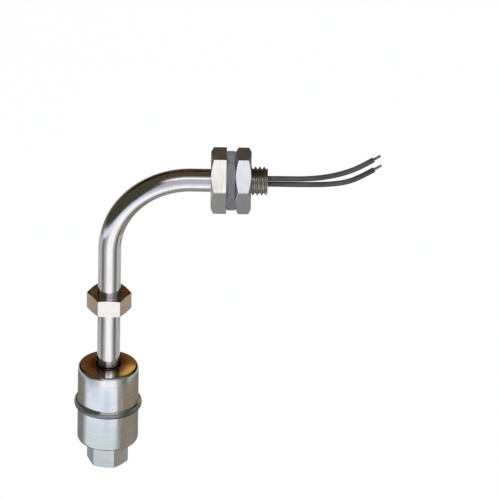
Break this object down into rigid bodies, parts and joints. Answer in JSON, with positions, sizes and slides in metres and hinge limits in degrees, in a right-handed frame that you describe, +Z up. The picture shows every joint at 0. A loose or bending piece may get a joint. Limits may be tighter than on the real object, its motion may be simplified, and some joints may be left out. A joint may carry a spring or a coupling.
{
  "type": "float level switch",
  "caption": "Liquid level switch with a bent metal stem, a cylindrical float that slides between two stops, a threaded side mounting with nut and gasket, and two leads.",
  "frame": {"origin": "on the axis of the mounting thread, in the plane of the gasket's free face, where the tank wall seats", "axes": "+X out through the tank wall along the thread, towards the leads; +Z up, against the stem; +Y by the right-hand rule, away from the side where the stem is seen to the left of the thread"},
  "size_m": [0.1249, 0.0278, 0.1469],
  "materials": {
    "steel": "bright polished stainless steel",
    "screw_steel": "dull stainless steel",
    "clip_steel": "plain spring steel",
    "gasket_rubber": "satin grey nitrile rubber",
    "potting": "black epoxy",
    "lead_jacket": "satin dark grey PVC",
    "tinned_wire": "tinned stranded copper",
    "reed_glass": "clear green glass",
    "reed_metal": "plated nickel iron",
    "board": "green glass-fibre board",
    "solder": "dull tin solder",
    "sleeving": "translucent heat-shrink sleeve",
    "ferrite": "dark grey sintered ferrite"
  },
  "bodies": {
    "stem": {"stem_tube": "steel", "mounting_fitting": "steel", "sealing_gasket": "gasket_rubber", "upper_stop": "steel", "upper_stop_screw": "screw_steel", "lower_stop_cap": "steel", "potting_plug": "potting", "lead_a": "lead_jacket", "lead_b": "lead_jacket", "lead_a_tip": "tinned_wire", "lead_b_tip": "tinned_wire", "inner_lead_a": "lead_jacket", "inner_lead_b": "lead_jacket", "insulating_sleeve": "sleeving", "reed_board": "board", "reed_glass": "reed_glass", "reed_blade_upper": "reed_metal", "reed_blade_lower": "reed_metal", "solder_joints": "solder"},
    "float": {"float_upper_shell": "steel", "float_lower_shell": "steel", "float_weld_band": "steel", "float_sleeve": "steel", "float_magnet": "ferrite", "magnet_clip_upper": "clip_steel", "magnet_clip_lower": "clip_steel"},
    "nut": {"mounting_nut": "steel"}
  },
  "joints": [
    {"name": "float_slide", "type": "slide", "parent": "stem", "child": "float", "axis": [0, 0, 1], "range_m": [0, 0.0259]},
    {"name": "nut_travel", "type": "slide", "parent": "stem", "child": "nut", "axis": [1, 0, 0], "range_m": [0, 0.0067]}
  ]
}
